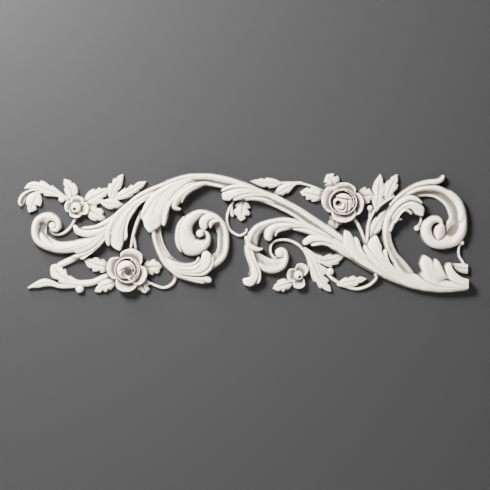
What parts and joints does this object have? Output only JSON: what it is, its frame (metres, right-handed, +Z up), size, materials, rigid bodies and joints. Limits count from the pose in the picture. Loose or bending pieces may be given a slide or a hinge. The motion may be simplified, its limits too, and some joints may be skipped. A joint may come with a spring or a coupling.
{
  "type": "carved scroll moulding",
  "caption": "Pierced, flat-backed wall moulding of acanthus scrolls with roses, small flowers, leaves and tendrils, square at its right end.",
  "frame": {"origin": "on the flat back, behind the main stem at the middle of the length", "axes": "+X along the moulding towards its square end, +Y out of the flat back into the wall, +Z up; the carving faces -Y"},
  "size_m": [0.7994, 0.032, 0.213],
  "materials": {
    "casting": "matt warm off-white primer on a rigid cast resin"
  },
  "bodies": {
    "root": {"scroll_moulding": "casting"}
  },
  "joints": []
}
